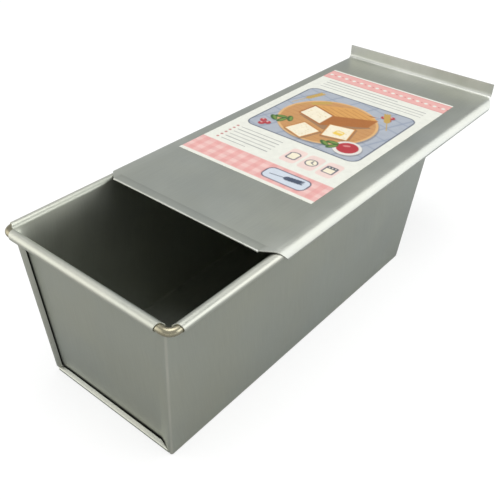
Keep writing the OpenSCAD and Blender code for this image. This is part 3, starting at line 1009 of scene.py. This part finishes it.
def drawLabel(k):
    c = LabelCanvas(k["yLeft"] - k["yRight"], k["x1"] - k["x0"], k["cellsAcross"], k["cellsAlong"], k["fine"])
    dice = random.Random(23)
    c.paint(c.box(-2, 2.6, 92, 20), "rose")    # checked band along the front edge
    for i in range(0, 24, 2):
        c.paint(c.box(i * 4 - 1, 3.2, i * 4 + 3, 19.4), "roseLight", 0.8)
    for i in range(0, 5, 2):
        c.paint(c.box(-2, 3.2 + i * 3.3, 92, 6.5 + i * 3.3), "roseDeep", 0.32)
    c.paint(c.box(52, 5.4, 80, 17.2, 4), "slate")
    c.paint(c.box(52.7, 6.1, 79.3, 16.5, 3.4), "plaque")
    drawWheat(c, 56, 10.4, 82, 20, "slate", "slate")
    for row in range(6):                       # ruled lines with bullets, in two blocks
        v = 42.5 - row * 3.6
        c.paint(c.disc(7, v, 0.9), "berry", 0.75)
        c.paint(c.line(10, v, 40 if row != 5 else 27, v, 0.55), "grey")
    for cu in (54, 66, 78):                    # three small outlines: a loaf, a clock, an oven
        c.paint(c.box(cu - 5, 26, cu + 5, 42, 2), "roseLight", 0.7)
    c.paint(c.box(50.6, 30, 57.4, 36, 1.2), "slate")
    c.paint(c.disc(54, 36, 3.6, 2.4), "slate")
    c.paint(c.box(51.4, 30.8, 56.6, 36, 0.8) | c.disc(54, 36, 2.8, 1.7), "crumb")
    c.paint(c.disc(66, 34, 3.8), "slate")
    c.paint(c.disc(66, 34, 3.1), "crumb")
    c.paint(c.line(66, 34, 66, 36.3, 0.7) | c.line(66, 34, 67.8, 33.2, 0.7), "slate")
    c.paint(c.box(74.4, 30, 81.6, 38, 0.8), "slate")
    c.paint(c.box(75.2, 30.8, 80.8, 35.4, 0.4), "crumb")
    for i in range(3):
        c.paint(c.disc(76 + 2 * i, 36.8, 0.5), "crumb")
    drawPicture(c, dice)
    for row in range(4):
        v = 137.6 - row * 3.7
        c.paint(c.line(8, v, 82 if row else 60, v, 0.55), "grey")
    c.paint(c.box(-2, 142, 92, 153.4), "rose")
    c.paint(c.box(-2, 141.2, 92, 142) | c.box(-2, 153.4, 92, 154.2), "roseDeep")
    for i in range(15):
        c.paint(c.disc(3 + i * 6, 147.7, 1.25), "paper")
        c.paint(c.disc(6 + i * 6, 147.7, 0.6), "berry", 0.7)
    return c.atCells()


def makeLabel(k):
    colours = drawLabel(k)
    rows, cols = colours.shape[:2]
    ys, xs = np.linspace(k["yLeft"], k["yRight"], cols), np.linspace(k["x0"], k["x1"], rows)
    across, along = np.meshgrid(ys, xs)
    wave = np.sin(along / 17 + 0.6) * np.cos(across / 13) + 0.6 * np.sin(along / 7.3 + across / 9.1)
    height = k["z"] + k["thickness"] + k["wave"] * wave
    top = np.stack([along, across, height], axis=-1).reshape(-1, 3) * millimetre
    ring = list(range(cols)) + [i * cols + cols - 1 for i in range(1, rows)]
    ring += [(rows - 1) * cols + j for j in range(cols - 2, -1, -1)]
    ring += [i * cols for i in range(rows - 2, 0, -1)]
    under = top[ring].copy()
    under[:, 2] = k["z"] * millimetre
    faces = [(i * cols + j + 1, i * cols + j, (i + 1) * cols + j, (i + 1) * cols + j + 1)
             for i in range(rows - 1) for j in range(cols - 1)]
    first = len(top)
    count = len(ring)
    faces += [(ring[n], ring[(n + 1) % count], first + (n + 1) % count, first + n) for n in range(count)]
    faces.append(tuple(range(first, first + count)))
    mesh = bpy.data.meshes.new("paperLabel")
    mesh.from_pydata(np.concatenate([top, under]).tolist(), [], faces)
    ink = mesh.color_attributes.new("ink", "FLOAT_COLOR", "POINT")
    paper = np.ones((first + count, 4))
    paper[:first, :3] = colours.reshape(-1, 3)
    paper[first:, :3] = paper[ring, :3]
    ink.data.foreach_set("color", paper.ravel())
    bm = bmesh.new()
    bm.from_mesh(mesh)
    bmesh.ops.recalc_face_normals(bm, faces=bm.faces)
    bm.to_mesh(mesh)
    bm.free()
    return addObject("paperLabel", mesh, paperPrint)


paperLabel = makeLabel(labelSizes)
print("label printed:", len(paperLabel.data.polygons), "faces")


# Floor, lights and camera

studio = {
    "floorSize": 8.0, "floorColour": (0.30, 0.30, 0.297), "floorSeen": 0.74,
    "floorNear": 0.12, "floorFar": 0.75,      # the floor's glow that metal sees: dim beside the pan as painted shade, brighter further out
    "nearRadius": 0.26, "farRadius": 0.6,
    # the floor's glow in the metal is tinted warm on one side and cool on the other, as a painted reflection
    "warmTint": (1.0, 1.0, 0.96), "coolTint": (0.93, 1.0, 1.07), "tintReach": 0.35,
    "sky": (0.97, 0.99, 1.0), "skyCool": (0.91, 0.96, 1.0), "coolSpan": (0.3, 0.95),
    "skyStrength": 0.58, "skyFall": 0.28,
    "lamps": [                                # name, place, aim, size, radiance, colour
        ("rightCard", (0.72, -0.92, 0.40), (0.0, 0.0, 0.10), (1.6, 0.95), 1.5, (1.0, 1.0, 1.0)),
        ("leftCard", (-0.80, 0.86, 0.42), (0.0, 0.0, 0.10), (1.5, 1.0), 1.07, (1.0, 0.985, 0.94)),
        ("topSoftbox", (0.05, 0.0, 1.7), (0.05, 0.0, 0.0), (1.2, 1.2), 3.0, (1.0, 1.0, 1.0)),
    ],
}


def makeFloor(k):
    bm = bmesh.new()
    bmesh.ops.create_grid(bm, x_segments=8, y_segments=8, size=k["floorSize"] / 2)
    mesh = bpy.data.meshes.new("studioFloor")
    bm.to_mesh(mesh)
    bm.free()
    material, tree, shader = newMaterial("paleFloor")
    shader.inputs["Base Color"].default_value = opaque(k["floorColour"])
    shader.inputs["Roughness"].default_value = 0.9
    ray = tree.nodes.new("ShaderNodeLightPath").outputs
    spot = addNode(tree, "ShaderNodeTexCoord").outputs["Object"]
    # For glossy rays the floor glows unevenly as a painted reflection: dim beside the pan as painted shade,
    # brighter further out, and tinted by side
    mirrored = combine(tree, "MAXIMUM", ray["Is Glossy Ray"], ray["Is Transmission Ray"])
    reach = addNode(tree, "ShaderNodeVectorMath", {0: spot}, operation="LENGTH").outputs["Value"]
    level = rangeOf(tree, reach, k["nearRadius"], k["farRadius"], k["floorNear"], k["floorFar"])
    low = combine(tree, "MULTIPLY", mirrored, level)
    glow = combine(tree, "MULTIPLY_ADD", ray["Is Camera Ray"], k["floorSeen"], low)
    side = addNode(tree, "ShaderNodeSeparateXYZ", {"Vector": spot}).outputs["X"]
    side = rangeOf(tree, side, -k["tintReach"], k["tintReach"], 0.0, 1.0)
    tint = mixColours(tree, side, opaque(k["warmTint"]), opaque(k["coolTint"]))
    hue = mixColours(tree, mirrored, (1, 1, 1, 1), tint)
    tree.links.new(hue, shader.inputs["Emission Color"])
    tree.links.new(glow, shader.inputs["Emission Strength"])
    return addObject("studioFloor", mesh, material)


def makeWorld(k):
    world = bpy.data.worlds.new("studioWorld")
    scene.world = world
    world.use_nodes = True
    tree = world.node_tree
    tree.nodes.clear()
    heading = addNode(tree, "ShaderNodeTexCoord").outputs["Generated"]
    side = addNode(tree, "ShaderNodeSeparateXYZ", {"Vector": heading}).outputs["X"]
    side = rangeOf(tree, side, *k["coolSpan"], 0.0, 1.0)
    back = addNode(tree, "ShaderNodeBackground", {
        "Color": mixColours(tree, side, opaque(k["sky"]), opaque(k["skyCool"])),
        "Strength": rangeOf(tree, side, 0.0, 1.0, k["skyStrength"], k["skyStrength"] * (1 - k["skyFall"])),
    })
    addNode(tree, "ShaderNodeOutputWorld", {"Surface": back.outputs["Background"]})


def addLamp(name, place, target, size, power, colour):
    data = bpy.data.lights.new(name, "AREA")
    data.shape = "RECTANGLE"
    data.size, data.size_y = size
    data.energy = power
    data.color = colour
    lamp = bpy.data.objects.new(name, data)
    lamp.location = place
    direction = Vector(target) - Vector(place)
    lamp.rotation_euler = direction.to_track_quat("-Z", "Y").to_euler()
    scene.collection.objects.link(lamp)


studioFloor = makeFloor(studio)
makeWorld(studio)
for name, place, aim, size, radiance, colour in studio["lamps"]:
    addLamp(name, place, aim, size, radiance * math.pi * size[0] * size[1], colour)
print("studio lit")


cameraSetup = {                               # fitted to points of the pan in the photo
    "lens": 48.9436, "sensor": 36.0, "place": (-0.24391, -0.19568, 0.26895),
    "right": (0.6362, -0.7711, 0.0257), "up": (0.44, 0.3899, 0.8089), "away": (-0.6338, -0.5033, 0.5873),
}


def makeCamera(k):
    data = bpy.data.cameras.new("studioCamera")
    data.lens = k["lens"]
    data.sensor_width = k["sensor"]
    camera = bpy.data.objects.new("studioCamera", data)
    scene.collection.objects.link(camera)
    scene.camera = camera
    turn = Matrix((k["right"], k["up"], k["away"])).transposed()
    camera.matrix_world = Matrix.Translation(k["place"]) @ turn.to_4x4()


makeCamera(cameraSetup)
scene.view_settings.view_transform = "Standard"

for piece, bodyName, slotName, nodes in [
    (panBody, "pan", "pan_sheet", ("floor", "front_wall", "back_wall", "left_end", "right_end")),
    (rimWire, "pan", "wire", ("rim_wire",)),
    (lidSheet, "lid", "lid_sheet", ("lid",)),
    (paperLabel, "lid", "label", ("label",)),
]:
    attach(piece, bodyName)
    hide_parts(*nodes)
